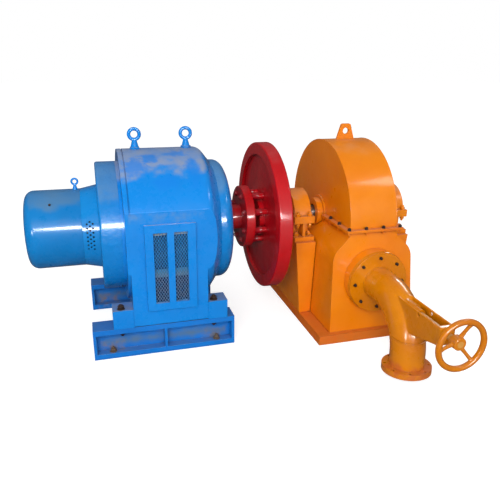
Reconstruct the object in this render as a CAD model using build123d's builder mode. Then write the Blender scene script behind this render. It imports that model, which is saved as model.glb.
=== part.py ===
from build123d import *
from math import cos, radians, sin, sqrt, tan
import os

# Pelton turbine generating set: generator, flywheel coupling and single-nozzle turbine.
# The shaft runs along X from the generator to the turbine, the nozzle points along -Y,
# Z is up, and the origin is on the floor under the middle of the left bearing.

# Shaft line
axis_height = 719.0
shaft_diameter = 90.0
running_clearance = 0.05
seat_clearance = 0.1

# Turbine base frame
base_left = -27.0
base_length = 754.0
base_width = 1220.0
base_height = 62.0
base_side_member = 120.0
base_end_member = 76.0

# Turbine casing
sheet = 8.0
hood_width = 322.0
hood_radius = 501.0
casing_foot_gap = 3.0
casing_flare = 19.0
casing_foot_depth = 578.0
casing_shoulder_drop = 147.0
shoulder_radius = 120.0
casing_neck = 30.0
neck_radius = 50.0
split_flange_reach = 34.0
split_flange_thickness = 8.0
lug_width = 130.0
lug_top_width = 66.0
lug_height = 104.0
lug_thickness = 16.0
lug_hole = 42.0
lug_hole_height = 56.0

# Bearings and pedestals
pedestal_top_width = 140.0
pedestal_bottom_width = 80.0
pedestal_depth = 490.0
pedestal_height = 512.0
bearing_width = 140.0
bearing_body_width = 116.0
bearing_radius = 172.0
bearing_foot_depth = 430.0
bearing_foot_thickness = 30.0
bearing_body_depth = 250.0
bearing_rib = 20.0
bearing_flange_thickness = 24.0
bearing_flange_reach = 34.0
seal_radius = 98.0
seal_length = 52.0
seal_flange_radius = 118.0
seal_flange_thickness = 12.0

# Nozzle, inlet and needle gear
nozzle_height = 402.0
nozzle_bore = 104.0
pad_radius = 196.0
pad_face = 596.0
nozzle_flange_thickness = 26.0
nozzle_bolt_circle_diameter = 328.0
nozzle_bolt_count = 8
bolt_hole = 22.0
pipe_radius = 102.0
pipe_wall = 8.0
elbow_distance = 1000.0
elbow_bend_radius = 290.0
inlet_tilt = 3.0
inlet_flange_radius = 144.0
inlet_flange_thickness = 34.0
inlet_bolt_circle_diameter = 252.0
inlet_bolt_count = 8
inlet_bolt_hole = 18.0
inlet_floor_gap = 6.0
boss_radius = 33.0
boss_reach = 16.0
gland_radius = 30.0
gland_length = 60.0
yoke_width = 92.0
yoke_rise = 42.0
yoke_drop = 60.0
yoke_root_drop = 118.0
yoke_wall = 12.0
yoke_end = 1338.0
yoke_end_wall = 36.0
yoke_hole = 18.0
yoke_hole_distance = 1138.0
yoke_hole_height = 22.0
spindle_diameter = 36.0
spindle_inside = 24.0
wheel_distance = 1455.0
wheel_dish = 36.0
wheel_radius = 130.0
wheel_rim = 28.0
wheel_hub_radius = 36.0
wheel_hub_length = 56.0
wheel_spokes = 3
spoke_start = 68.0
spoke_diameter = 22.0
tip_radius = 45.0
tip_distance = 300.0
tip_cone_start = 477.0

# Runner
disc_rim_rise = 5.0
runner_disc_thickness = 56.0
runner_hub_radius = 85.0
runner_hub_length = 150.0
bucket_count = 18
bucket_width = 170.0
bucket_height = 120.0
bucket_depth = 50.0
bucket_wall = 9.0
bucket_round = 16.0

# Flywheel and coupling
flywheel_face = -275.0
flywheel_radius = 492.0
flywheel_thickness = 88.0
flywheel_rim = 78.0
flywheel_recess = 24.0
flywheel_hub_radius = 120.0
flywheel_hub_reach = 36.0
rim_round = 10.0
coupling_gap = 65.0
coupling_radius = 207.0
coupling_thickness = 60.0
coupling_round = 6.0
coupling_hub_radius = 84.0
coupling_hub_length = 64.0
pin_diameter = 38.0
pin_circle_diameter = 320.0
pin_count = 8

# Generator
bell_right_end = -525.0
bell_right_length = 85.0
bell_right_radius = 390.0
bell_right_round = 56.0
shoulder_length = 67.0
shoulder_round = 60.0
body_length = 506.0
body_radius = 477.0
body_half_width = 440.0
body_groove = 7.0
body_ring = 26.0
shoulder_left_length = 18.0
bell_left_length = 120.0
bell_left_radius = 402.0
bell_left_round = 14.0
exciter_ring_length = 98.0
exciter_ring_radius = 262.0
exciter_radius = 241.0
exciter_length = 325.0
exciter_round = 56.0
box_left = -1165.0
box_length = 454.0
box_gap = 8.0
foot_length = 122.0
foot_depth = 124.0
foot_height = 118.0
foot_bolt_left = -1237.0
foot_bolt_spacing = 566.0
foot_bolt_hole = 26.0
foot_edge_inset = 4.0
panel_width = 298.0
panel_height = 534.0
panel_thickness = 14.0
panel_bottom = 295.0
window_width = 80.0
window_height = 438.0
window_gap = 40.0
window_bottom = 342.0
window_depth = 30.0
screen_thickness = 4.0
eye_spacing = 318.0
eye_offset = 18.0
eye_radius = 32.0
eye_bar = 22.0
eye_shank = 58.0
eye_collar = 64.0
eye_neck = 26.0
exciter_eye_share = 0.55
exciter_eye_inset = 26.0
bore_length = 60.0

# Slide rails
rail_left = -1411.0
rail_length = 868.0
rail_height = 192.0
rail_width = 136.0
rail_flange = 34.0
rail_web = 22.0
rail_gusset = 16.0
rail_end_plate = 18.0
rail_edge_inset = 8.0
rail_anchor = 20.0
rail_anchor_inset = 112.0

os.makedirs("parts", exist_ok=True)

shaft_axis = Axis((0, 0, axis_height), (1, 0, 0))
shaft_radius = shaft_diameter / 2
journal = shaft_radius + running_clearance
seat = shaft_radius + seat_clearance
casing_centre = base_left + base_length / 2
hood_left = casing_centre - hood_width / 2
hood_right = casing_centre + hood_width / 2
lower_flange_bottom = axis_height - split_flange_thickness
casing_width = base_length - 2 * (pedestal_bottom_width + casing_foot_gap + casing_flare)
nozzle_axis = Axis((casing_centre, 0, nozzle_height), (0, 1, 0))
front_slope = (casing_foot_depth - hood_radius) / (axis_height - base_height)
bearing_places = (0, 2 * casing_centre)
bearing_foot_level = base_height + pedestal_height
sides = ("left", "right")


def across(x):
    """A plane square to the shaft at x, with Y to the right and Z up on it."""
    return Plane(origin=(x, 0, axis_height), x_dir=(0, 1, 0), z_dir=(1, 0, 0))


def facing(distance):
    """A plane square to the nozzle axis, with X to the right and Z up on it."""
    return Plane(origin=(casing_centre, -distance, nozzle_height), x_dir=(1, 0, 0), z_dir=(0, -1, 0))


def upright(x, y, z):
    """A plane facing -Y through a point, with X to the right and Z up on it."""
    return Plane(origin=(x, y, z), x_dir=(1, 0, 0), z_dir=(0, -1, 0))


def save(piece, name):
    piece.part.label = name
    export_step(piece.part, f"parts/{name}.step")


# Turbine base frame: a welded frame, open in the middle so that the water leaves downwards
with BuildPart() as base_frame:
    with BuildSketch():
        with Locations((casing_centre, 0)):
            Rectangle(base_length, base_width)
            Rectangle(base_length - 2 * base_side_member, base_width - 2 * base_end_member, mode=Mode.SUBTRACT)
    extrude(amount=base_height)
save(base_frame, "base_frame")


# Lower casing: rolled side sheets that flare out below the split, with sloping end plates
def casing_block(inset, low, high):
    """The lower casing's form as a solid block, inset by a wall thickness."""
    neck = hood_width / 2 - inset
    foot = casing_width / 2 - inset
    neck_end = lower_flange_bottom - casing_neck
    shoulder = axis_height - casing_shoulder_drop
    half_outline = [(foot + casing_flare, low), (foot, shoulder), (neck, neck_end), (neck, high)]
    low_depth = casing_foot_depth - inset - front_slope * (low - base_height)
    high_depth = casing_foot_depth - inset - front_slope * (high - base_height)
    with BuildPart() as block:
        with BuildSketch(upright(casing_centre, casing_foot_depth, 0)) as front:
            with BuildLine():
                Polyline(*half_outline, *[(-x, z) for x, z in reversed(half_outline)], close=True)
            make_face()
            fillet(front.vertices().group_by(Axis.Y)[1], shoulder_radius - inset)
            fillet(front.vertices().group_by(Axis.Y)[-2], neck_radius + inset)
        extrude(amount=2 * casing_foot_depth)
        with BuildSketch(Plane.YZ.offset(casing_centre - casing_width)):
            with BuildLine():
                Polyline(
                    (-low_depth, low), (low_depth, low), (high_depth, high), (-high_depth, high), close=True
                )
            make_face()
        extrude(amount=2 * casing_width, mode=Mode.INTERSECT)
    return block.part


with BuildPart() as casing_lower:
    add(casing_block(0, base_height, lower_flange_bottom))
    add(casing_block(sheet, base_height - sheet, lower_flange_bottom + sheet), mode=Mode.SUBTRACT)
    with BuildSketch(across(casing_centre - casing_width)):
        Circle(seal_radius + seat_clearance)
    extrude(amount=2 * casing_width, mode=Mode.SUBTRACT)
    for wall, hand in ((hood_left, -1), (hood_right, 1)):
        with BuildSketch(across(wall - hand * sheet)):
            Circle(seal_flange_radius)
        extrude(amount=hand * (sheet + seal_flange_thickness), mode=Mode.SUBTRACT)
    with BuildSketch(facing(0)):
        Circle(nozzle_bore)
    extrude(amount=2 * casing_foot_depth, mode=Mode.SUBTRACT)
save(casing_lower, "casing_lower")

# Casing hood: a half-round sheet between two flat side plates, open at the split
with BuildPart() as casing_hood:
    with BuildSketch(across(hood_left)):
        Circle(hood_radius)
    extrude(amount=hood_width)
    with BuildSketch(across(hood_left + sheet)):
        Circle(hood_radius - sheet)
    extrude(amount=hood_width - 2 * sheet, mode=Mode.SUBTRACT)
    with BuildSketch(across(hood_left)):
        Circle(seal_radius)
    extrude(amount=hood_width, mode=Mode.SUBTRACT)
    with BuildSketch(Plane.XY.offset(axis_height + split_flange_thickness)):
        with Locations((casing_centre, 0)):
            Rectangle(2 * hood_width, 4 * hood_radius)
    extrude(amount=-2 * hood_radius, mode=Mode.SUBTRACT)
save(casing_hood, "casing_hood")

# Split flanges: flat frames round the foot of the hood and the top of the lower casing
for level, name in ((lower_flange_bottom, "split_flange_lower"), (axis_height, "split_flange_upper")):
    with BuildPart() as split_flange:
        with BuildSketch(Plane.XY.offset(level)):
            with Locations((casing_centre, 0)):
                Rectangle(hood_width + 2 * split_flange_reach, 2 * (hood_radius + split_flange_reach))
                Rectangle(hood_width - 2 * sheet, 2 * (hood_radius - sheet), mode=Mode.SUBTRACT)
        extrude(amount=split_flange_thickness)
        with BuildSketch(across(hood_left - 2 * split_flange_reach)):
            Circle(seal_flange_radius)
        extrude(amount=hood_width + 4 * split_flange_reach, mode=Mode.SUBTRACT)
    save(split_flange, name)

# Lifting lug: a tapered plate with one hole, welded on the crown of the hood
crown = axis_height + hood_radius
with BuildPart() as lifting_lug:
    with BuildSketch(upright(casing_centre, lug_thickness / 2, crown)) as lug_face:
        with BuildLine():
            Polyline(
                (-lug_width / 2, 0),
                (lug_width / 2, 0),
                (lug_top_width / 2, lug_height),
                (-lug_top_width / 2, lug_height),
                close=True,
            )
        make_face()
        fillet(lug_face.vertices().group_by(Axis.Y)[-1], lug_thickness)
        with Locations((0, lug_hole_height)):
            Circle(lug_hole / 2, mode=Mode.SUBTRACT)
    extrude(amount=lug_thickness)
save(lifting_lug, "lifting_lug")

# Bearing pedestals: welded boxes that widen towards the top, mirrored about the casing
for side, place, hand in zip(sides, bearing_places, (1, -1)):
    outer_foot = place + hand * base_left
    inner_foot = outer_foot + hand * pedestal_bottom_width
    with BuildPart() as pedestal:
        with BuildSketch(Plane.XZ.offset(-pedestal_depth / 2)):
            with BuildLine():
                Polyline(
                    (outer_foot, base_height),
                    (inner_foot, base_height),
                    (place + hand * pedestal_top_width / 2, bearing_foot_level),
                    (place - hand * pedestal_top_width / 2, bearing_foot_level),
                    close=True,
                )
            make_face()
        extrude(amount=pedestal_depth)
    save(pedestal, f"pedestal_{side}")

# Bearings: split pillow blocks with a bolted foot, a body recessed between flanges and a centre rib
bearing_flange_half = bearing_radius + bearing_flange_reach
for side, place in zip(sides, bearing_places):
    with BuildPart() as bearing_base:
        with BuildSketch(across(place - bearing_width / 2)):
            with Locations((0, bearing_foot_level - axis_height + bearing_foot_thickness / 2)):
                Rectangle(bearing_foot_depth, bearing_foot_thickness)
            with Locations((0, -bearing_flange_thickness / 2)):
                Rectangle(2 * bearing_flange_half, bearing_flange_thickness)
        extrude(amount=bearing_width)
        with BuildSketch(across(place - bearing_body_width / 2)):
            with Locations((0, (bearing_foot_level - axis_height) / 2)):
                Rectangle(bearing_body_depth, axis_height - bearing_foot_level)
        extrude(amount=bearing_body_width)
        with BuildSketch(across(place - bearing_rib / 2)):
            with Locations((0, (bearing_foot_level - axis_height) / 2)):
                Rectangle(bearing_foot_depth - bearing_foot_thickness, axis_height - bearing_foot_level)
        extrude(amount=bearing_rib)
        with BuildSketch(across(place - bearing_width)):
            Circle(journal)
        extrude(amount=2 * bearing_width, mode=Mode.SUBTRACT)
    save(bearing_base, f"bearing_base_{side}")
    with BuildPart() as bearing_cap:
        with BuildSketch(across(place - bearing_body_width / 2)):
            Circle(bearing_radius)
        extrude(amount=bearing_body_width)
        with BuildSketch(across(place - bearing_width / 2)):
            with Locations((0, bearing_flange_thickness / 2)):
                Rectangle(2 * bearing_flange_half, bearing_flange_thickness)
        extrude(amount=bearing_width)
        with BuildSketch(across(place - bearing_width)):
            with Locations((0, -bearing_radius)):
                Rectangle(2 * bearing_flange_half, 2 * bearing_radius)
            Circle(journal)
        extrude(amount=2 * bearing_width, mode=Mode.SUBTRACT)
    save(bearing_cap, f"bearing_cap_{side}")

# Shaft seals: flanged rings that close the casing round the shaft
for side, wall, hand in zip(sides, (hood_left, hood_right), (-1, 1)):
    with BuildPart() as shaft_seal:
        with BuildSketch(across(wall)):
            Circle(seal_flange_radius - seat_clearance)
            Circle(shaft_radius + sheet, mode=Mode.SUBTRACT)
        extrude(amount=hand * seal_flange_thickness)
        with BuildSketch(across(wall)):
            Circle(seal_radius)
            Circle(shaft_radius + sheet, mode=Mode.SUBTRACT)
        extrude(amount=hand * seal_length)
    save(shaft_seal, f"shaft_seal_{side}")

# Nozzle pad: a ring welded on the sloping front plate, with its face square to the nozzle
front_plate = Plane(
    origin=(casing_centre, -casing_foot_depth, base_height), x_dir=(1, 0, 0), z_dir=(0, -1, front_slope)
)
with BuildPart() as nozzle_pad:
    with BuildSketch(facing(hood_radius)):
        Circle(pad_radius)
        Circle(nozzle_bore, mode=Mode.SUBTRACT)
    extrude(amount=pad_face - hood_radius)
    split(bisect_by=front_plate, keep=Keep.TOP)
save(nozzle_pad, "nozzle_pad")

# Nozzle flange: a bolted ring on the pad
with BuildPart() as nozzle_flange:
    with BuildSketch(facing(pad_face)):
        Circle(pad_radius)
        Circle(pipe_radius + seat_clearance, mode=Mode.SUBTRACT)
        with PolarLocations(nozzle_bolt_circle_diameter / 2, nozzle_bolt_count):
            Circle(bolt_hole / 2, mode=Mode.SUBTRACT)
    extrude(amount=nozzle_flange_thickness)
save(nozzle_flange, "nozzle_flange")

# Nozzle tip: the converging mouthpiece inside the casing, fixed in the pad's bore
tip_mouth = tip_radius + sheet
tip_outside = nozzle_bore - seat_clearance
with BuildPart() as nozzle_tip:
    with BuildSketch(Plane((casing_centre, 0, nozzle_height))):
        with BuildLine():
            Polyline(
                (tip_radius, -tip_distance),
                (tip_mouth, -tip_distance),
                (tip_outside, -tip_cone_start),
                (tip_outside, -pad_face),
                (tip_outside - sheet, -pad_face),
                (tip_outside - sheet, -tip_cone_start),
                close=True,
            )
        make_face()
    revolve(axis=nozzle_axis)
save(nozzle_tip, "nozzle_tip")

# Nozzle pipe: a straight run from the flange, an elbow, and the inlet run down to the floor
tilt = radians(inlet_tilt)
inlet_direction = Vector(0, -sin(tilt), -cos(tilt))
elbow_corner = Vector(casing_centre, -elbow_distance, nozzle_height)
inlet_run = (nozzle_height - inlet_floor_gap - inlet_flange_radius * sin(tilt)) / cos(tilt)
inlet_end = elbow_corner + inlet_direction * inlet_run
inlet_face = Plane(origin=inlet_end, x_dir=(1, 0, 0), z_dir=inlet_direction)
pipe_start = Vector(casing_centre, -pad_face, nozzle_height)
elbow_start = elbow_distance - elbow_bend_radius * tan((radians(90) - tilt) / 2)
elbow_inside = elbow_distance - pipe_radius
elbow_outside = elbow_distance + pipe_radius
elbow_back = elbow_start + sqrt((elbow_bend_radius + pipe_radius) ** 2 - elbow_bend_radius**2)
boss_face = elbow_back + boss_radius + boss_reach


def pipe_bar(radius, overrun):
    """A round bar along the pipe's centre line, running past both ends by the overrun."""
    with BuildPart() as bar:
        with BuildLine() as centre_line:
            FilletPolyline(
                pipe_start + Vector(0, overrun, 0),
                elbow_corner,
                inlet_end + inlet_direction * overrun,
                radius=elbow_bend_radius,
            )
        with BuildSketch(facing(pad_face - overrun)):
            Circle(radius)
        sweep(path=centre_line.line)
    return bar.part


with BuildPart() as nozzle_pipe:
    add(pipe_bar(pipe_radius, 0))
    with BuildSketch(facing(elbow_inside)):
        Circle(boss_radius)
    extrude(amount=boss_face - elbow_inside)
    add(pipe_bar(pipe_radius - pipe_wall, pipe_wall), mode=Mode.SUBTRACT)
    with BuildSketch(facing(elbow_inside)):
        Circle(spindle_diameter / 2 + running_clearance)
    extrude(amount=boss_face - elbow_inside, mode=Mode.SUBTRACT)
save(nozzle_pipe, "nozzle_pipe")

# Inlet flange
with BuildPart() as inlet_flange:
    with BuildSketch(inlet_face):
        Circle(inlet_flange_radius)
        Circle(pipe_radius + seat_clearance, mode=Mode.SUBTRACT)
        with PolarLocations(inlet_bolt_circle_diameter / 2, inlet_bolt_count, start_angle=180 / inlet_bolt_count):
            Circle(inlet_bolt_hole / 2, mode=Mode.SUBTRACT)
    extrude(amount=-inlet_flange_thickness)
save(inlet_flange, "inlet_flange")

# Gland: the stuffing box nut round the needle spindle
with BuildPart() as gland:
    with BuildSketch(facing(boss_face)):
        Circle(gland_radius)
        Circle(spindle_diameter / 2 + running_clearance, mode=Mode.SUBTRACT)
    extrude(amount=gland_length)
save(gland, "gland")

# Spindle yoke: an open-topped channel on the back of the elbow, deeper towards the elbow, with the spindle nut
# in its end wall and a cross hole through its side walls
yoke_slot_end = yoke_end - yoke_end_wall
yoke_top = nozzle_height + yoke_rise
yoke_end_bottom = nozzle_height - yoke_drop
yoke_root_bottom = nozzle_height - yoke_root_drop
yoke_slot_slope = (yoke_end_bottom - yoke_root_bottom) / (yoke_end - elbow_outside)
with BuildPart() as spindle_yoke:
    with BuildSketch(Plane.YZ.offset(casing_centre - yoke_width / 2)):
        with BuildLine():
            Polyline(
                (-elbow_inside, yoke_top),
                (-yoke_end, yoke_top),
                (-yoke_end, yoke_end_bottom),
                (-elbow_outside, yoke_root_bottom),
                (-elbow_inside, yoke_root_bottom),
                close=True,
            )
        make_face()
    extrude(amount=yoke_width)
    with BuildSketch(Plane.YZ.offset(casing_centre - yoke_width / 2 + yoke_wall)):
        with BuildLine():
            Polyline(
                (-elbow_inside, yoke_top),
                (-yoke_slot_end, yoke_top),
                (-yoke_slot_end, yoke_end_bottom + yoke_wall - yoke_slot_slope * yoke_end_wall),
                (-elbow_outside, yoke_root_bottom + yoke_wall),
                (-elbow_inside, yoke_root_bottom + yoke_wall),
                close=True,
            )
        make_face()
    extrude(amount=yoke_width - 2 * yoke_wall, mode=Mode.SUBTRACT)
    with BuildSketch(Plane.YZ.offset(casing_centre - yoke_width)):
        with Locations((-yoke_hole_distance, nozzle_height + yoke_hole_height)):
            Circle(yoke_hole / 2)
    extrude(amount=2 * yoke_width, mode=Mode.SUBTRACT)
    with BuildSketch(facing(elbow_distance)):
        Circle(spindle_diameter / 2 + running_clearance)
    extrude(amount=yoke_end, mode=Mode.SUBTRACT)
    add(pipe_bar(pipe_radius + seat_clearance, 0), mode=Mode.SUBTRACT)
save(spindle_yoke, "spindle_yoke")

# Spindle: the rod between the elbow and the handwheel
spindle_start = boss_face - spindle_inside
hub_distance = wheel_distance - wheel_dish
with BuildPart() as spindle:
    with BuildSketch(facing(spindle_start)):
        Circle(spindle_diameter / 2)
    extrude(amount=hub_distance + wheel_hub_length / 2 - spindle_start)
save(spindle, "spindle")

# Handwheel: a round rim on three spokes that lean out from the hub
with BuildPart() as handwheel:
    with BuildSketch(facing(hub_distance - wheel_hub_length / 2)):
        Circle(wheel_hub_radius)
    extrude(amount=wheel_hub_length)
    with BuildSketch(Plane.XY.offset(nozzle_height)):
        with Locations((casing_centre + wheel_radius, -wheel_distance)):
            Circle(wheel_rim / 2)
    revolve(axis=nozzle_axis)
    for number in range(wheel_spokes):
        turn = radians(spoke_start + 360 / wheel_spokes * number)
        spoke_way = Vector(wheel_radius * cos(turn), -wheel_dish, wheel_radius * sin(turn))
        with BuildSketch(Plane((casing_centre, -hub_distance, nozzle_height), z_dir=spoke_way)):
            Circle(spoke_diameter / 2)
        extrude(amount=spoke_way.length)
    with BuildSketch(facing(elbow_distance)):
        Circle(spindle_diameter / 2 + seat_clearance)
    extrude(amount=wheel_distance, mode=Mode.SUBTRACT)
save(handwheel, "handwheel")

# Turbine shaft: from the flywheel's far face through both bearings, with the coupling end at the left
turbine_shaft_left = flywheel_face + flywheel_recess - flywheel_hub_reach
turbine_shaft_right = 2 * casing_centre + bearing_width / 2 + seal_length
with BuildPart() as turbine_shaft:
    with BuildSketch(across(turbine_shaft_left)):
        Circle(shaft_radius)
    extrude(amount=turbine_shaft_right - turbine_shaft_left)
save(turbine_shaft, "turbine_shaft")

# Runner: a hub and disc on the shaft with double buckets round the rim
pitch_radius = axis_height - nozzle_height
runner_disc_radius = pitch_radius - bucket_height / 2 + disc_rim_rise
with BuildPart() as runner_disc:
    with BuildSketch(across(casing_centre - runner_hub_length / 2)):
        Circle(runner_hub_radius)
        Circle(seat, mode=Mode.SUBTRACT)
    extrude(amount=runner_hub_length)
    with BuildSketch(across(casing_centre - runner_disc_thickness / 2)):
        Circle(runner_disc_radius)
        Circle(seat, mode=Mode.SUBTRACT)
    extrude(amount=runner_disc_thickness)
save(runner_disc, "runner_disc")

bucket_half = bucket_width / 2
bucket_bowl = (bucket_half - bucket_wall - bucket_wall / 2) / 2
bucket_root = runner_disc_radius - bucket_wall
with BuildPart() as bucket_block:
    with BuildSketch(across(casing_centre - bucket_half)):
        with Locations((0, (bucket_root + pitch_radius + bucket_height / 2) / 2)):
            Rectangle(bucket_depth, pitch_radius + bucket_height / 2 - bucket_root)
    extrude(amount=bucket_width)
    fillet(bucket_block.edges().filter_by(Axis.Y), bucket_round)
    with Locations(
        (casing_centre - bucket_half / 2, -bucket_depth / 2, axis_height + pitch_radius),
        (casing_centre + bucket_half / 2, -bucket_depth / 2, axis_height + pitch_radius),
    ):
        Sphere(bucket_bowl, mode=Mode.SUBTRACT)
    with BuildSketch(across(casing_centre - bucket_width)):
        Circle(runner_disc_radius + seat_clearance)
    extrude(amount=2 * bucket_width, mode=Mode.SUBTRACT)
with BuildPart() as runner_buckets:
    for number in range(bucket_count):
        add(bucket_block.part.rotate(shaft_axis, 360 / bucket_count * number))
save(runner_buckets, "runner_buckets")

# Flywheel: a solid web with a deep rim on both sides and a hub on the shaft
web_left = flywheel_face + flywheel_recess
with BuildPart() as flywheel:
    with BuildSketch(across(flywheel_face)):
        Circle(flywheel_radius)
    extrude(amount=flywheel_thickness)
    fillet(flywheel.edges().filter_by(GeomType.CIRCLE), rim_round)
    for start, amount in ((flywheel_face, flywheel_recess), (flywheel_face + flywheel_thickness, -flywheel_recess)):
        with BuildSketch(across(start)):
            Circle(flywheel_radius - flywheel_rim)
        extrude(amount=amount, mode=Mode.SUBTRACT)
    with BuildSketch(across(web_left - flywheel_hub_reach)):
        Circle(flywheel_hub_radius)
    extrude(amount=flywheel_thickness - 2 * flywheel_recess + 2 * flywheel_hub_reach)
    with BuildSketch(across(flywheel_face - flywheel_thickness)):
        Circle(seat)
    extrude(amount=3 * flywheel_thickness, mode=Mode.SUBTRACT)
save(flywheel, "flywheel")

# Coupling half: a disc with a hub on the generator's shaft end
coupling_face = flywheel_face - coupling_gap
coupling_back = coupling_face - coupling_thickness
coupling_left = coupling_back - coupling_hub_length
with BuildPart() as coupling_half:
    with BuildSketch(across(coupling_back)):
        Circle(coupling_radius)
    extrude(amount=coupling_thickness)
    fillet(coupling_half.edges().filter_by(GeomType.CIRCLE), coupling_round)
    with BuildSketch(across(coupling_left)):
        Circle(coupling_hub_radius)
    extrude(amount=coupling_hub_length)
    with BuildSketch(across(coupling_left)):
        Circle(seat)
    extrude(amount=coupling_hub_length + coupling_thickness, mode=Mode.SUBTRACT)
save(coupling_half, "coupling_half")

# Coupling pins: eight pins from the coupling half to the flywheel's web
with BuildPart() as coupling_pins:
    with BuildSketch(across(coupling_face)):
        with PolarLocations(pin_circle_diameter / 2, pin_count, start_angle=180 / pin_count):
            Circle(pin_diameter / 2)
    extrude(amount=web_left - coupling_face)
save(coupling_pins, "coupling_pins")

# Generator stations along the shaft, from the right end bell to the exciter's end
body_right = bell_right_end - bell_right_length - shoulder_length
body_left = body_right - body_length
bell_left_start = body_left - shoulder_left_length
bell_left_end = bell_left_start - bell_left_length
ring_end = bell_left_end - exciter_ring_length
exciter_end = ring_end - exciter_length

# Generator shaft: from inside the right end bell into the coupling half
with BuildPart() as generator_shaft:
    with BuildSketch(across(bell_right_end - bore_length)):
        Circle(shaft_radius)
    extrude(amount=coupling_face - bell_right_end + bore_length)
save(generator_shaft, "generator_shaft")

window_side = (window_width + window_gap) / 2
window_middle = window_bottom + window_height / 2
window_places = ((-window_side, window_middle), (window_side, window_middle))

# Stator housing: a barrel with flat flanks on a box base, stepped down to the end bells
box_floor = rail_height + box_gap
groove_left = body_left + body_ring
panel_centre = (body_left + body_right) / 2
box_centre = box_left + box_length / 2
rail_line = body_half_width - rail_edge_inset - rail_width / 2
rail_recess_middle = (rail_width + rail_web) / 4
bolt_line = rail_line + rail_recess_middle
foot_bolt_middle = foot_bolt_left + foot_bolt_spacing / 2
with BuildPart() as stator_housing:
    with BuildSketch(upright(0, 0, axis_height)) as barrel_profile:
        with BuildLine():
            Polyline(
                (bell_left_start, 0),
                (bell_left_start, bell_left_radius),
                (body_left, bell_left_radius),
                (body_left, body_radius),
                (groove_left, body_radius),
                (groove_left, body_radius - body_groove),
                (groove_left + body_groove, body_radius - body_groove),
                (groove_left + body_groove, body_radius),
                (body_right, body_radius),
                (body_right + shoulder_length, bell_right_radius),
                (body_right + shoulder_length, 0),
                close=True,
            )
        make_face()
        fillet(barrel_profile.vertices().group_by(Axis.X)[-2], shoulder_round)
    revolve(axis=shaft_axis)
    with BuildSketch(Plane.XY):
        with Locations((panel_centre, 0)):
            Rectangle(2 * body_length, 2 * body_half_width)
    extrude(amount=2 * axis_height, mode=Mode.INTERSECT)
    with BuildSketch(Plane.XY.offset(box_floor)):
        with Locations((box_centre, 0)):
            Rectangle(box_length, 2 * body_half_width)
    extrude(amount=axis_height - box_floor)
    for hand in (-1, 1):
        with BuildSketch(upright(panel_centre, hand * body_half_width, 0)):
            with Locations(*window_places):
                Rectangle(window_width, window_height)
        extrude(amount=hand * window_depth, mode=Mode.SUBTRACT)
save(stator_housing, "stator_housing")

# Generator feet: four blocks at the corners of the box, standing on the rails
foot_middle = body_half_width - foot_edge_inset - foot_depth / 2
with BuildPart() as generator_feet:
    with BuildSketch(Plane.XY.offset(rail_height)):
        with Locations((box_centre, 0)):
            with GridLocations(box_length + foot_length, 2 * foot_middle, 2, 2):
                Rectangle(foot_length, foot_depth)
        with Locations((foot_bolt_middle, 0)):
            with GridLocations(foot_bolt_spacing, 2 * bolt_line, 2, 2):
                Circle(foot_bolt_hole / 2, mode=Mode.SUBTRACT)
    extrude(amount=foot_height)
save(generator_feet, "generator_feet")

# End bells
with BuildPart() as end_bell_right:
    with BuildSketch(across(bell_right_end - bell_right_length)):
        Circle(bell_right_radius)
    extrude(amount=bell_right_length)
    fillet(end_bell_right.edges().filter_by(GeomType.CIRCLE).sort_by(Axis.X)[-1], bell_right_round)
    with BuildSketch(across(bell_right_end - bore_length)):
        Circle(journal)
    extrude(amount=2 * bore_length, mode=Mode.SUBTRACT)
save(end_bell_right, "end_bell_right")

with BuildPart() as end_bell_left:
    with BuildSketch(across(bell_left_end)):
        Circle(bell_left_radius)
    extrude(amount=bell_left_length)
    fillet(end_bell_left.edges().filter_by(GeomType.CIRCLE).sort_by(Axis.X)[0], bell_left_round)
save(end_bell_left, "end_bell_left")

# Exciter ring: a short cone between the left end bell and the exciter cover
with BuildPart() as exciter_ring:
    with BuildSketch(across(ring_end)):
        Circle(exciter_radius)
    with BuildSketch(across(bell_left_end)):
        Circle(exciter_ring_radius)
    loft()
save(exciter_ring, "exciter_ring")

# Exciter cover: a smooth drum with a rounded end
with BuildPart() as exciter_cover:
    with BuildSketch(across(exciter_end)):
        Circle(exciter_radius)
    extrude(amount=exciter_length)
    fillet(exciter_cover.edges().filter_by(GeomType.CIRCLE).sort_by(Axis.X)[0], exciter_round)
save(exciter_cover, "exciter_cover")

# Screen panels: raised plates on both flanks with two tall windows each
for name, hand in (("front", -1), ("rear", 1)):
    with BuildPart() as screen_panel:
        with BuildSketch(upright(panel_centre, hand * body_half_width, 0)):
            with Locations((0, panel_bottom + panel_height / 2)):
                Rectangle(panel_width, panel_height)
            with Locations(*window_places):
                Rectangle(window_width, window_height, mode=Mode.SUBTRACT)
        extrude(amount=-hand * panel_thickness)
    save(screen_panel, f"screen_panel_{name}")

# Air screens: thin sheets that fill the four windows behind the panels' faces
with BuildPart() as air_screens:
    for hand in (-1, 1):
        with BuildSketch(upright(panel_centre, hand * body_half_width, 0)):
            with Locations(*window_places):
                Rectangle(window_width, window_height)
        extrude(amount=hand * screen_thickness)
save(air_screens, "air_screens")


# Lifting eyes: two on the barrel and a small one on the exciter cover
def lifting_eye(x, level, share):
    """A ring on a conical collar, standing on top of a drum."""
    centre = level + share * (eye_shank + eye_radius)
    with BuildPart() as eye:
        with BuildSketch(Plane((x, 0, centre))):
            with Locations((share * eye_radius, 0)):
                Circle(share * eye_bar / 2)
        revolve(axis=Axis((x, 0, centre), (0, 1, 0)))
        with BuildSketch(Plane((x, 0, level - share * eye_bar / 2))):
            Circle(share * eye_collar / 2)
        with BuildSketch(Plane((x, 0, level + share * eye_shank))):
            Circle(share * eye_neck / 2)
        loft()
    return eye.part


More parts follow.
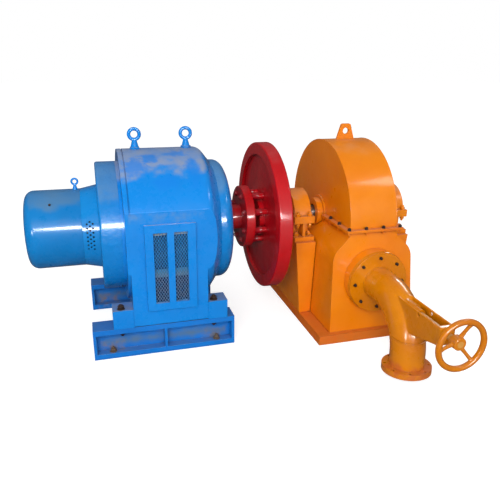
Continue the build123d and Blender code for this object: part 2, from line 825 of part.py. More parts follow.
barrel_top = axis_height + body_radius
exciter_top = axis_height + exciter_radius
exciter_eye_x = ring_end - exciter_eye_inset
eye_centre = panel_centre + eye_offset
with BuildPart() as lifting_eyes:
    add(lifting_eye(eye_centre - eye_spacing / 2, barrel_top, 1.0))
    add(lifting_eye(eye_centre + eye_spacing / 2, barrel_top, 1.0))
    add(lifting_eye(exciter_eye_x, exciter_top, exciter_eye_share))
    with BuildSketch(across(exciter_end)):
        Circle(exciter_radius)
    extrude(amount=exciter_length, mode=Mode.SUBTRACT)
    with BuildSketch(across(body_left)):
        Circle(body_radius)
    extrude(amount=body_length, mode=Mode.SUBTRACT)
save(lifting_eyes, "lifting_eyes")

# Slide rails: I-sections closed at both ends, with a gusset in the middle and anchor holes in the lower flange
rail_centre = rail_left + rail_length / 2
rail_recess_length = (rail_length - rail_gusset) / 2 - rail_end_plate
rail_recess_spacing = rail_recess_length + rail_gusset
for name, hand in (("front", -1), ("rear", 1)):
    with BuildPart() as rail:
        with BuildSketch(Plane.XY):
            with Locations((rail_centre, hand * rail_line)):
                Rectangle(rail_length, rail_width)
        extrude(amount=rail_height)
        with BuildSketch(Plane.XY.offset(rail_flange)):
            with Locations((rail_centre, hand * rail_line)):
                with GridLocations(rail_recess_spacing, 2 * rail_recess_middle, 2, 2):
                    Rectangle(rail_recess_length, (rail_width - rail_web) / 2)
        extrude(amount=rail_height - 2 * rail_flange, mode=Mode.SUBTRACT)
        with BuildSketch(Plane.XY):
            with Locations((rail_centre, hand * bolt_line)):
                with GridLocations(rail_length - 2 * rail_anchor_inset, 1, 2, 1):
                    Circle(rail_anchor / 2)
        extrude(amount=rail_flange, mode=Mode.SUBTRACT)
        with BuildSketch(Plane.XY.offset(rail_height - rail_flange)):
            with Locations((foot_bolt_middle, hand * bolt_line)):
                with GridLocations(foot_bolt_spacing, 1, 2, 1):
                    Circle(foot_bolt_hole / 2)
        extrude(amount=rail_flange, mode=Mode.SUBTRACT)
    save(rail, f"rail_{name}")
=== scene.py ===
from math import cos, radians, sin

import bmesh
import bpy
from mathutils import Matrix, Vector


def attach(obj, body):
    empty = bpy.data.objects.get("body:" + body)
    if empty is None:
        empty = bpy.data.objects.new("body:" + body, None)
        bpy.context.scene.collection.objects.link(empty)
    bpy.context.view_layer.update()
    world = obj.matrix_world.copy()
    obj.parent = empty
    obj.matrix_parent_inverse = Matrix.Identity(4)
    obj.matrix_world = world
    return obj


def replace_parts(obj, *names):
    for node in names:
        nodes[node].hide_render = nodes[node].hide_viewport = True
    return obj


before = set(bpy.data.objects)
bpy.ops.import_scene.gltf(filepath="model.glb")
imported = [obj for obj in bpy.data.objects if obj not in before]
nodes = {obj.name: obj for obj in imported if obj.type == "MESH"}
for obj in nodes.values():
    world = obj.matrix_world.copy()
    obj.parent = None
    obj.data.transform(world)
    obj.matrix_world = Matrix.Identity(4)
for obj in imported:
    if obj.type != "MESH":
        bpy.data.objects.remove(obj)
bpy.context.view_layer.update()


# Base frame of the turbine.
# It is welded from flat steel, brushed all over with orange enamel, and stands on the floor. The reddish dust of the
# shop lies on its top, and the enamel is rubbed through along the outer edges.
def tint(red, green, blue):
    """A colour read off a paint card, 0 to 255, as the shader wants it."""
    gamma, opaque = 2.2, 1.0
    return tuple((c / 255) ** gamma for c in (red, green, blue)) + (opaque,)


def put(tree, kind, sockets=(), **settings):
    """A shader node whose sockets are set, or joined to the socket given."""
    made = tree.nodes.new("ShaderNode" + kind)
    for label, value in settings.items():
        setattr(made, label, value)
    for label, value in dict(sockets).items():
        if isinstance(value, bpy.types.NodeSocket):
            tree.links.new(value, made.inputs[label])
        else:
            made.inputs[label].default_value = value
    return made


def effect(name, inputs, outputs):
    """An empty node group with named sockets. It comes back with its input and output ends."""
    group = bpy.data.node_groups.new(name, "ShaderNodeTree")
    for label, value in inputs.items():
        kind = "NodeSocketVector" if isinstance(value, tuple) else "NodeSocketFloat"
        group.interface.new_socket(name=label, in_out="INPUT", socket_type=kind).default_value = value
    for label, kind in outputs.items():
        group.interface.new_socket(name=label, in_out="OUTPUT", socket_type="NodeSocket" + kind)
    return group, group.nodes.new("NodeGroupInput").outputs, group.nodes.new("NodeGroupOutput").inputs


enamel_skin, taken, given = effect(
    "enamel_skin", {"Brush": 1.0, "Lumps": 0.0}, {"Tone": "Float", "Gloss": "Float", "Height": "Float"}
)
place = put(enamel_skin, "TexCoord").outputs["Object"]
cloud = put(enamel_skin, "TexNoise", {"Vector": place, "Scale": 3.2, "Detail": 4.0, "Roughness": 0.6})
peel = put(enamel_skin, "TexNoise", {"Vector": place, "Scale": 55.0, "Detail": 2.0})
stretch = put(enamel_skin, "Mapping", {"Vector": place, "Scale": (14.0, 150.0, 90.0)})
bristle = put(enamel_skin, "TexNoise", {"Vector": stretch.outputs[0], "Scale": 1.0, "Detail": 3.0})
strokes = put(enamel_skin, "Math", {0: bristle.outputs[0], 1: taken["Brush"]}, operation="MULTIPLY")
skin = put(enamel_skin, "Math", {0: peel.outputs[0], 1: 0.7, 2: strokes.outputs[0]}, operation="MULTIPLY_ADD")
lumpy = put(enamel_skin, "TexNoise", {"Vector": place, "Scale": 38.0, "Detail": 3.0})
skin = put(enamel_skin, "Math", {0: lumpy.outputs[0], 1: taken["Lumps"], 2: skin.outputs[0]}, operation="MULTIPLY_ADD")
smear = put(enamel_skin, "TexNoise", {"Vector": place, "Scale": 11.0, "Detail": 5.0, "Roughness": 0.7})
gloss = put(enamel_skin, "MapRange", {0: smear.outputs[0], 1: 0.35, 2: 0.65, 3: 0.85, 4: 1.5})
tone = put(enamel_skin, "MapRange", {0: cloud.outputs[0], 1: 0.32, 2: 0.68})
enamel_skin.links.new(gloss.outputs[0], given["Gloss"])
enamel_skin.links.new(tone.outputs[0], given["Tone"])
enamel_skin.links.new(skin.outputs[0], given["Height"])

settled_dust, taken, given = effect(
    "settled_dust", {"Amount": 0.6, "Scale": 8.0, "Slope": 0.55, "Ragged": 0.4}, {"Mask": "Float"}
)
place = put(settled_dust, "TexCoord")
facing = put(settled_dust, "SeparateXYZ", {0: place.outputs["Normal"]})
broad = put(settled_dust, "TexNoise", {"Vector": place.outputs["Object"], "Scale": taken["Scale"], "Detail": 6.0})
fine = put(settled_dust, "TexNoise", {"Vector": place.outputs["Object"], "Scale": 170.0, "Detail": 2.0})
centred = put(settled_dust, "Math", {0: broad.outputs[0], 1: 0.5}, operation="SUBTRACT")
shifted = put(settled_dust, "Math", {0: centred.outputs[0], 1: taken["Ragged"]}, operation="MULTIPLY")
leaned = put(settled_dust, "Math", {0: facing.outputs[2], 1: shifted.outputs[0]}, operation="ADD")
full = put(settled_dust, "Math", {0: taken["Slope"], 1: 0.2}, operation="ADD")
lying = put(
    settled_dust,
    "MapRange",
    {0: leaned.outputs[0], 1: taken["Slope"], 2: full.outputs[0]},
    interpolation_type="SMOOTHSTEP",
)
uneven = put(settled_dust, "MapRange", {0: broad.outputs[0], 1: 0.3, 2: 0.62, 3: 0.55, 4: 1.0})
grainy = put(settled_dust, "MapRange", {0: fine.outputs[0], 1: 0.2, 2: 0.75, 3: 0.7, 4: 1.0})
spread = put(settled_dust, "Math", {0: lying.outputs[0], 1: uneven.outputs[0]}, operation="MULTIPLY")
speckled = put(settled_dust, "Math", {0: spread.outputs[0], 1: grainy.outputs[0]}, operation="MULTIPLY")
amount = put(settled_dust, "Math", {0: speckled.outputs[0], 1: taken["Amount"]}, operation="MULTIPLY", use_clamp=True)
settled_dust.links.new(amount.outputs[0], given["Mask"])

rubbed_edges, taken, given = effect(
    "rubbed_edges", {"Width": 0.003, "Amount": 0.5, "Scale": 22.0}, {"Mask": "Float", "Normal": "Vector"}
)
place = put(rubbed_edges, "TexCoord").outputs["Object"]
rounded = put(rubbed_edges, "Bevel", {"Radius": taken["Width"]}, samples=4)
flat = put(rubbed_edges, "NewGeometry")
turned = put(rubbed_edges, "VectorMath", {0: rounded.outputs[0], 1: flat.outputs["Normal"]}, operation="DOT_PRODUCT")
edge = put(rubbed_edges, "MapRange", {0: turned.outputs["Value"], 1: 0.985, 2: 0.86})
chips = put(rubbed_edges, "TexNoise", {"Vector": place, "Scale": taken["Scale"], "Detail": 5.0})
patchy = put(rubbed_edges, "MapRange", {0: chips.outputs[0], 1: 0.5, 2: 0.6})
mask = put(rubbed_edges, "Math", {0: edge.outputs[0], 1: patchy.outputs[0]}, operation="MULTIPLY")
amount = put(rubbed_edges, "Math", {0: mask.outputs[0], 1: taken["Amount"]}, operation="MULTIPLY", use_clamp=True)
rubbed_edges.links.new(amount.outputs[0], given["Mask"])
rubbed_edges.links.new(rounded.outputs[0], given["Normal"])

# Painted shade: ambient occlusion darkens the paint in uneven patches in corners, creases and recesses, where little
# light reaches.
corner_shade, taken, given = effect("corner_shade", {"Amount": 0.6, "Reach": 0.03}, {"Mask": "Float"})
place = put(corner_shade, "TexCoord").outputs["Object"]
hidden = put(corner_shade, "AmbientOcclusion", {"Distance": taken["Reach"]}, samples=4)
deep = put(corner_shade, "MapRange", {0: hidden.outputs["AO"], 1: 0.75, 2: 0.25})
smear = put(corner_shade, "TexNoise", {"Vector": place, "Scale": 30.0, "Detail": 4.0})
uneven = put(corner_shade, "MapRange", {0: smear.outputs[0], 1: 0.3, 2: 0.65, 3: 0.45, 4: 1.0})
mask = put(corner_shade, "Math", {0: deep.outputs[0], 1: uneven.outputs[0]}, operation="MULTIPLY")
amount = put(corner_shade, "Math", {0: mask.outputs[0], 1: taken["Amount"]}, operation="MULTIPLY", use_clamp=True)
corner_shade.links.new(amount.outputs[0], given["Mask"])

# A zone of a piece, given by its two corners with Y taken from the shaft's line outwards, and its ragged border.
dirty_zone, taken, given = effect(
    "dirty_zone",
    {"Low": (0.0, 0.0, 0.0), "High": (1.0, 1.0, 1.0), "Border": 0.01, "Ragged": 0.0, "Patches": 0.0, "Scale": 14.0},
    {"Mask": "Float"},
)
place = put(dirty_zone, "TexCoord").outputs["Object"]
parts = put(dirty_zone, "SeparateXYZ", {0: place})
outward = put(dirty_zone, "Math", {0: parts.outputs[1]}, operation="ABSOLUTE")
folded = put(dirty_zone, "CombineXYZ", {0: parts.outputs[0], 1: outward.outputs[0], 2: parts.outputs[2]})
stain = put(dirty_zone, "TexNoise", {"Vector": place, "Scale": taken["Scale"], "Detail": 6.0, "Roughness": 0.6})
above_low = put(dirty_zone, "VectorMath", {0: folded.outputs[0], 1: taken["Low"]}, operation="SUBTRACT")
below_high = put(dirty_zone, "VectorMath", {0: taken["High"], 1: folded.outputs[0]}, operation="SUBTRACT")
nearest = put(dirty_zone, "VectorMath", {0: above_low.outputs[0], 1: below_high.outputs[0]}, operation="MINIMUM")
sides_in = put(dirty_zone, "SeparateXYZ", {0: nearest.outputs[0]})
inner = put(dirty_zone, "Math", {0: sides_in.outputs[0], 1: sides_in.outputs[1]}, operation="MINIMUM")
inner = put(dirty_zone, "Math", {0: inner.outputs[0], 1: sides_in.outputs[2]}, operation="MINIMUM")
wander = put(dirty_zone, "Math", {0: stain.outputs[0], 1: 0.5}, operation="SUBTRACT")
wander = put(dirty_zone, "Math", {0: wander.outputs[0], 1: taken["Ragged"]}, operation="MULTIPLY")
inner = put(dirty_zone, "Math", {0: inner.outputs[0], 1: wander.outputs[0]}, operation="ADD")
inside = put(dirty_zone, "MapRange", {0: inner.outputs[0], 1: 0.0, 2: taken["Border"]}, interpolation_type="SMOOTHSTEP")
spots = put(dirty_zone, "MapRange", {0: stain.outputs[0], 1: 0.36, 2: 0.56})
spots = put(dirty_zone, "Math", {0: spots.outputs[0], 1: 1.0}, operation="SUBTRACT")
spots = put(dirty_zone, "Math", {0: spots.outputs[0], 1: taken["Patches"], 2: 1.0}, operation="MULTIPLY_ADD")
mask = put(dirty_zone, "Math", {0: inside.outputs[0], 1: spots.outputs[0]}, operation="MULTIPLY", use_clamp=True)
dirty_zone.links.new(mask.outputs[0], given["Mask"])


def grouped(tree, group, **sockets):
    """One of the effect groups placed in a material, with its values."""
    made = put(tree, "Group", node_tree=group)
    for label, value in sockets.items():
        made.inputs[label].default_value = value
    return made.outputs


def tinted(tree, base, layer, mask):
    """A colour laid over another where the mask is."""
    mixed = put(tree, "Mix", {0: mask, 6: base, 7: layer}, data_type="RGBA")
    return mixed.outputs[2]


def enamel(name, colour, shade, gloss=0.3, coat=0.5, dust=(0.4, 8.0, 0.6, 0.4), dust_tint=(190, 165, 155), shade_in_corners=0.5,
           wear=0.35, wear_tint=(95, 70, 60), brush=0.5, lumps=0.0, bump=0.12, stains=()):
    """Brushed enamel on steel: two tones of the colour, painted shade in corners, settled dust, stains and rubbed
    edges.
    Dust is its amount, scale, slope and raggedness. A stain is a group, its values, its colour and how matt it is."""
    dust_matt, glossy_below = 0.85, 0.4
    # The darker tone of the paint that is used for painted shade in corners.
    corner_shade_tone = [0.45 * c for c in shade]
    made = bpy.data.materials.new(name)
    made.use_nodes = True
    tree = made.node_tree
    shader = tree.nodes["Principled BSDF"]
    film = grouped(tree, enamel_skin, Brush=brush, Lumps=lumps)
    rubbed = grouped(tree, rubbed_edges, Width=0.0035, Amount=wear)
    painted_corner_shade = grouped(tree, corner_shade, Amount=shade_in_corners)
    powder = grouped(tree, settled_dust, Amount=dust[0], Scale=dust[1], Slope=dust[2], Ragged=dust[3])
    paint = tinted(tree, tint(*colour), tint(*shade), film["Tone"])
    # Painted shade in corners: the darker tone is laid where ambient occlusion finds a corner.
    paint = tinted(tree, paint, tint(*corner_shade_tone), painted_corner_shade["Mask"])
    paint = tinted(tree, paint, tint(*dust_tint), powder["Mask"])
    matt = put(tree, "Math", {0: film["Gloss"], 1: gloss}, operation="MULTIPLY").outputs[0]
    matt = put(tree, "Mix", {0: powder["Mask"], 2: matt, 3: dust_matt}).outputs[0]
    clear = put(tree, "MapRange", {0: powder["Mask"], 2: 0.6, 3: coat, 4: 0.0}).outputs[0]
    for group, values, stain_tint, stain_matt in stains:
        stain = grouped(tree, group, **values)["Mask"]
        paint = tinted(tree, paint, tint(*stain_tint), stain)
        matt = put(tree, "Mix", {0: stain, 2: matt, 3: stain_matt}).outputs[0]
        clear = put(tree, "Mix", {0: stain, 2: clear, 3: coat if stain_matt < glossy_below else 0.0}).outputs[0]
    paint = tinted(tree, paint, tint(*wear_tint), rubbed["Mask"])
    tree.links.new(paint, shader.inputs["Base Color"])
    tree.links.new(matt, shader.inputs["Roughness"])
    tree.links.new(clear, shader.inputs["Coat Weight"])
    shader.inputs["Coat Roughness"].default_value = 0.13
    shader.inputs["Specular IOR Level"].default_value = 0.2
    raised = put(tree, "Bump", {"Height": film["Height"], "Strength": bump, "Distance": 0.002})
    tree.links.new(rubbed["Normal"], raised.inputs["Normal"])
    tree.links.new(raised.outputs[0], shader.inputs["Normal"])
    return made


def coat_with(finish, *names):
    """Gives CAD nodes their finish."""
    for name in names:
        slots = nodes[name].data.materials
        slots.clear()
        slots.append(finish)


base_orange = enamel(
    "base_orange", (226, 112, 10), (212, 96, 14), gloss=0.45, coat=0.2, dust=(0.7, 9.0, 0.5, 0.5),
    dust_tint=(212, 122, 50), shade_in_corners=0.7, wear=0.6,
    stains=[(dirty_zone, {"Low": (-0.1, 0.55, -0.1), "High": (0.8, 0.8, 0.2), "Ragged": 0.05, "Patches": 0.8},
             (206, 108, 34), 0.7)],
)
coat_with(base_orange, "base_frame")


# Casing of the turbine: lower casing, split flanges and hood.
# The two halves are rolled and welded sheet, painted inside and out, and meet at a thin flange pair on the shaft's
# line. The crown of the hood is dusty, and small dark bolts hold the flanges.
casing_orange = enamel(
    "casing_orange", (235, 133, 0), (228, 122, 0), gloss=0.32, coat=0.6, lumps=0.7, dust=(0.55, 7.0, 0.85, 0.5),
    dust_tint=(216, 144, 92), wear=0.2, wear_tint=(150, 90, 50),
)
coat_with(casing_orange, "casing_lower", "casing_hood", "lifting_lug", "nozzle_pad")
flange_orange = enamel(
    "flange_orange", (238, 130, 8), (220, 112, 14), gloss=0.42, coat=0.2, dust=(0.6, 12.0, 0.5, 0.5),
    dust_tint=(206, 138, 100), shade_in_corners=0.6, wear=0.4,
)
coat_with(flange_orange, "split_flange_lower", "split_flange_upper")


def pick(piece, kind, test):
    """In edit mode, selects just the faces, edges or vertices that pass the test."""
    bpy.ops.mesh.select_mode(type={"faces": "FACE", "edges": "EDGE", "verts": "VERT"}[kind])
    bpy.ops.mesh.select_all(action="DESELECT")
    shape = bmesh.from_edit_mesh(piece.data)
    for part in getattr(shape, kind):
        if test(part):
            part.select_set(True)
    shape.select_flush_mode()
    bmesh.update_edit_mesh(piece.data)


def finished(name, finish, body, smooth=40):
    """Names the active piece, puts its place into its mesh, paints it and lets it ride."""
    piece = bpy.context.object
    piece.name = piece.data.name = name
    bpy.ops.object.transform_apply(location=True, rotation=True, scale=True)
    bpy.ops.object.shade_smooth_by_angle(angle=radians(smooth))
    piece.data.materials.clear()
    piece.data.materials.append(finish)
    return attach(piece, body)


def joined(*pieces):
    """The pieces as one active object."""
    bpy.ops.object.select_all(action="DESELECT")
    for piece in pieces:
        piece.select_set(True)
    bpy.context.view_layer.objects.active = pieces[0]
    bpy.ops.object.join()
    return pieces[0]


def hex_nut(width, height, stud, washer):
    """A hexagon nut on its washer with the bolt's end standing out of it, on the ground plane and pointing up."""
    plate, chamfer = 0.003, 0.06 * width
    bpy.ops.object.select_all(action="DESELECT")
    bpy.ops.mesh.primitive_cylinder_add(vertices=20, radius=washer, depth=plate, location=(0, 0, plate / 2))
    ring = bpy.context.object
    bpy.ops.object.mode_set(mode="EDIT")
    pick(ring, "edges", lambda e: all(v.co.z > 0 for v in e.verts))
    bpy.ops.mesh.bevel(offset=0.0008, segments=1, affect="EDGES")
    bpy.ops.object.mode_set(mode="OBJECT")
    bpy.ops.mesh.primitive_cylinder_add(vertices=6, radius=width / 3**0.5, depth=height,
                                        location=(0, 0, plate + height / 2))
    nut = bpy.context.object
    bpy.ops.object.mode_set(mode="EDIT")
    pick(nut, "faces", lambda f: f.normal.z > 0.9)
    bpy.ops.mesh.inset(thickness=0.1 * width, depth=0.0)
    pick(nut, "verts", lambda v: v.co.z > height / 2 - 1e-6 and v.co.xy.length > 0.55 * width)
    bpy.ops.transform.translate(value=(0, 0, -chamfer))
    bpy.ops.object.mode_set(mode="OBJECT")
    bpy.ops.mesh.primitive_cylinder_add(vertices=16, radius=0.33 * width, depth=stud,
                                        location=(0, 0, plate + height + stud / 2))
    end = bpy.context.object
    bpy.ops.object.mode_set(mode="EDIT")
    pick(end, "edges", lambda e: all(v.co.z > 0 for v in e.verts))
    bpy.ops.mesh.bevel(offset=chamfer, segments=2, affect="EDGES")
    bpy.ops.object.mode_set(mode="OBJECT")
    joined(nut, ring, end)
    bpy.ops.object.transform_apply(location=True, rotation=True, scale=True)
    return nut


def set_out(pattern, name, finish, body, places):
    """Copies of a pattern piece, each with its own mesh, turned to face a way and joined as one piece.
    Each stands a little further round than the last, as nuts do when they are tight."""
    further = 0.37
    copies = []
    for number, (place, way) in enumerate(places):
        copy = bpy.data.objects.new(name, pattern.data.copy())
        bpy.context.scene.collection.objects.link(copy)
        turn = Vector(way).to_track_quat("Z", "Y").to_matrix().to_4x4()
        copy.data.transform(Matrix.Translation(place) @ turn @ Matrix.Rotation(further * number, 4, "Z"))
        copies.append(copy)
    bpy.data.objects.remove(pattern)
    joined(*copies)
    return finished(name, finish, body, smooth=32)


bolt_black = enamel("bolt_black", (58, 44, 40), (36, 28, 28), gloss=0.5, coat=0.0, dust=(0.35, 30.0, 0.5, 0.3),
                    dust_tint=(120, 90, 70), shade_in_corners=0.4, wear=0.3, wear_tint=(110, 100, 96), bump=0.3)
up, down = (0, 0, 1), (0, 0, -1)
shaft_height, flange_plate = 0.719, 0.008
bolt_rows, row_bolts, column_bolts = (-0.518, 0.518), (0.172, 0.29, 0.41, 0.528), (-0.37, -0.235, 0.235, 0.37)
flange_places = [(x, y) for y in bolt_rows for x in row_bolts]
flange_places += [(x, y) for x in (row_bolts[0], row_bolts[-1]) for y in column_bolts]
set_out(hex_nut(width=0.019, height=0.011, stud=0.003, washer=0.012), "split_flange_bolts", bolt_black, "frame",
        [((x, y, shaft_height + flange_plate), up) for x, y in flange_places])
set_out(hex_nut(width=0.018, height=0.01, stud=0.005, washer=0.012), "split_flange_nuts", flange_orange, "frame",
        [((x, y, shaft_height - flange_plate), down) for x, y in flange_places])


# Weld beads of the turbine.
# The hood's sheet, the lug, the casing's foot and the pedestals are all closed with a hand-laid bead, painted over.
def weld(name, finish, body, thickness, *runs):
    """Beads laid along runs of points: chains of short edges that are thickened all round."""
    beads = []
    for run in runs:
        bpy.ops.object.select_all(action="DESELECT")
        bpy.ops.mesh.primitive_circle_add(vertices=len(run) - 1)
        bead = bpy.context.object
        shape = bmesh.new()
        chain = [shape.verts.new(point) for point in run]
        for first, second in zip(chain, chain[1:]):
            shape.edges.new((first, second))
        bmesh.ops.remove_doubles(shape, verts=shape.verts[:], dist=1e-5)
        shape.to_mesh(bead.data)
        shape.free()
        bpy.ops.object.convert(target="CURVE")
        bead.data.bevel_depth = thickness
        bead.data.bevel_resolution = 1
        bead.data.use_fill_caps = True
        bpy.ops.object.convert(target="MESH")
        beads.append(bead)
    joined(*beads)
    return finished(name, finish, body, smooth=60)


def arc(radius, start, end, steps, x):
    """Points of an arc round the shaft's line, square to it at a station x."""
    turns = [radians(start + (end - start) * n / steps) for n in range(steps + 1)]
    return [(x, radius * cos(t), shaft_height + radius * sin(t)) for t in turns]


def rectangle(x0, y0, x1, y1, z):
    """Points of a level rectangle from one corner round to it again."""
    return [(x0, y0, z), (x1, y0, z), (x1, y1, z), (x0, y1, z), (x0, y0, z)]


sheet_bead, hood_radius, hood_sides, crown_top = 0.0026, 0.5, (0.19, 0.51), 1.2195
weld("hood_welds", casing_orange, "frame", sheet_bead,
     *[arc(hood_radius, 2, 178, 72, x) for x in hood_sides],
     rectangle(0.286, -0.008, 0.414, 0.008, crown_top))
plate_bead, plate_top, pedestal_middles, pedestal_half = 0.004, 0.0635, (0.013, 0.687), 0.0395
weld("foot_welds", base_orange, "frame", plate_bead,
     rectangle(0.0565, -0.5775, 0.6435, 0.5775, plate_top),
     *[rectangle(x - pedestal_half, -0.2445, x + pedestal_half, 0.2445, plate_top) for x in pedestal_middles])


# Pedestals, bearings and shaft seals.
# Two welded boxes carry split cast pillow blocks. The caps are held by studs with nuts and the feet by bolts.
pedestal_orange = enamel(
    "pedestal_orange", (238, 134, 4), (228, 118, 6), gloss=0.4, coat=0.3, dust=(0.6, 9.0, 0.6, 0.5),
    dust_tint=(200, 130, 96), shade_in_corners=0.6,
)
coat_with(pedestal_orange, "pedestal_left", "pedestal_right")
bearing_orange = enamel(
    "bearing_orange", (238, 138, 10), (222, 118, 10), gloss=0.36, coat=0.45, dust=(0.5, 18.0, 0.7, 0.5),
    dust_tint=(205, 150, 110), shade_in_corners=0.9, brush=0.3, bump=0.3,
)
coat_with(bearing_orange, "bearing_base_left", "bearing_base_right", "bearing_cap_left", "bearing_cap_right",
          "shaft_seal_left", "shaft_seal_right")
sides, bearing_middles = (-1, 1), (0.0, 0.7)
cap_top, cap_under, pillow_top = 0.743, 0.695, 0.604
cap_places = [(b + 0.042 * i, 0.189 * j) for b in bearing_middles for i in sides for j in sides]
pillow_places = [(b + 0.043 * i, 0.168 * j) for b in bearing_middles for i in sides for j in sides]
set_out(hex_nut(width=0.026, height=0.016, stud=0.012, washer=0.016), "bearing_cap_nuts", bearing_orange, "frame",
        [((x, y, cap_top), up) for x, y in cap_places] + [((x, y, cap_under), down) for x, y in cap_places])
set_out(hex_nut(width=0.03, height=0.016, stud=0.01, washer=0.02), "bearing_foot_nuts", bearing_orange, "frame",
        [((x, y, pillow_top), up) for x, y in pillow_places])


# Nozzle: the cast elbow with its yoke, the pipe flanges and their bolts.
# The elbow and the yoke that carries the spindle are one rough casting under thick ochre enamel, so their corners are
# filled. Its flange is bolted to the casing's pad, and the inlet flange is open, because the supply pipe isn't there.
pipe_ochre = enamel(
    "pipe_ochre", (216, 130, 2), (204, 114, 4), gloss=0.24, coat=0.9, dust=(0.3, 7.0, 0.9, 0.4),
    dust_tint=(196, 134, 96), wear=0.15, brush=0.2, lumps=0.8, bump=0.1, shade_in_corners=0.6,
    stains=[(dirty_zone, {"Low": (0.1, 0.97, -0.1), "High": (0.6, 1.3, 0.09), "Ragged": 0.1, "Patches": 0.9,
                          "Border": 0.03}, (196, 104, 44), 0.45)],
)
coat_with(pipe_ochre, "nozzle_flange", "gland", "inlet_flange")


def cast(piece, cell, rounds):
    """Makes overlapping shells one casting with cells of this size, and fills and rounds its corners."""
    piece.data.remesh_voxel_size = cell
    bpy.ops.object.voxel_remesh()
    softened = piece.modifiers.new("softened", "SMOOTH")
    softened.factor, softened.iterations = 0.6, rounds
    bpy.ops.object.modifier_apply(modifier="softened")


def cut_out(piece, tool):
    """Cuts the tool's shape out of a piece and takes the tool away."""
    bpy.ops.object.select_all(action="DESELECT")
    piece.select_set(True)
    bpy.context.view_layer.objects.active = piece
    cut = piece.modifiers.new("cut", "BOOLEAN")
    cut.object, cut.operation, cut.solver = tool, "DIFFERENCE", "EXACT"
    bpy.ops.object.modifier_apply(modifier="cut")
    bpy.data.objects.remove(tool)


nozzle_x, nozzle_height = 0.35, 0.402
shells = []
for name in ("nozzle_pipe", "spindle_yoke"):
    shell = bpy.data.objects.new(name + "_cast", nodes[name].data.copy())
    bpy.context.scene.collection.objects.link(shell)
    shells.append(shell)
casting = joined(*shells)
bpy.ops.object.mode_set(mode="EDIT")
bpy.ops.mesh.select_all(action="SELECT")
bpy.ops.mesh.remove_doubles(threshold=1e-5)
bpy.ops.object.mode_set(mode="OBJECT")
cast(casting, cell=0.0045, rounds=7)
pin_hole_radius, pin_hole_place = 0.0115, (nozzle_x, -1.138, 0.424)
bpy.ops.mesh.primitive_cylinder_add(vertices=28, radius=pin_hole_radius, depth=0.4, location=pin_hole_place,
                                    rotation=(0, radians(90), 0))
cut_out(casting, bpy.context.object)
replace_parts(finished("nozzle_casting", pipe_ochre, "frame", smooth=60), "nozzle_pipe", "spindle_yoke")


def hoop(centre, radius, steps=48, lean=0.0):
    """Points of a ring round a pipe that runs along Y, or down with a lean of its axis."""
    turns = [radians(360 * n / steps) for n in range(steps + 1)]
    ring = [Vector((radius * cos(t), 0, radius * sin(t))) for t in turns]
    return [tuple(Vector(centre) + Matrix.Rotation(radians(lean), 3, "X") @ point) for point in ring]


flange_bead, collar_bead, pipe_radius, pad_radius, pipe_lean = 0.006, 0.0038, 0.1015, 0.195, 93
weld("flange_welds", pipe_ochre, "frame", flange_bead,
     hoop((nozzle_x, -0.6235, nozzle_height), pipe_radius),
     hoop((nozzle_x, -1.0185, 0.0485), pipe_radius, lean=pipe_lean),
     hoop((nozzle_x, -0.597, nozzle_height), pad_radius, 72))
weld("elbow_collar", pipe_ochre, "frame", collar_bead, hoop((nozzle_x, -1.0085, 0.226), 0.101, lean=pipe_lean))
ahead, flange_face, bolt_circle = (0, -1, 0), -0.622, 0.164
flange_turns = [radians(45 * n) for n in range(8)]
set_out(hex_nut(width=0.016, height=0.01, stud=0.004, washer=0.0095), "nozzle_flange_bolts", bolt_black, "frame",
        [((nozzle_x + bolt_circle * cos(t), flange_face, nozzle_height + bolt_circle * sin(t)), ahead)
         for t in flange_turns])


# Needle gear: spindle and handwheel.
# The steel spindle runs through the gland and the yoke's end wall. The cast iron wheel has a round rim and three bowed
# spokes that swell into the rim and the hub.
spindle_steel = enamel("spindle_steel", (206, 146, 70), (186, 122, 50), gloss=0.25, coat=0.6,
                       dust=(0.3, 20.0, 0.5, 0.4), dust_tint=(150, 120, 90), shade_in_corners=0.6, wear=0.3,
                       wear_tint=(160, 155, 150))
coat_with(spindle_steel, "spindle")
wheel_ochre = enamel("wheel_ochre", (202, 118, 2), (188, 100, 6), gloss=0.3, coat=0.7, dust=(0.3, 20.0, 0.7, 0.4),
                     dust_tint=(190, 130, 84), shade_in_corners=0.7, wear=0.7, wear_tint=(150, 78, 30), bump=0.25)


def drawn_bar(points, radii, vertices=12):
    """A bar drawn out from a round blank, step by step, through the points with a radius at each."""
    bpy.ops.object.select_all(action="DESELECT")
    start, after = Vector(points[0]), Vector(points[1])
    bpy.ops.mesh.primitive_circle_add(vertices=vertices, radius=radii[0], fill_type="NGON", location=start,
                                      rotation=(start - after).to_track_quat("Z", "Y").to_euler())
    bar = bpy.context.object
    bpy.ops.object.transform_apply(location=True, rotation=True, scale=True)
    bpy.ops.object.mode_set(mode="EDIT")
    for last, point, was, radius in zip(points, points[1:], radii, radii[1:]):
        step = Vector(point) - Vector(last)
        bpy.ops.mesh.extrude_region_move(TRANSFORM_OT_translate={"value": step})
        bpy.ops.transform.resize(value=(radius / was,) * 3, center_override=point)
    bpy.ops.mesh.select_all(action="SELECT")
    bpy.ops.mesh.normals_make_consistent(inside=False)
    bpy.ops.object.mode_set(mode="OBJECT")
    return bar


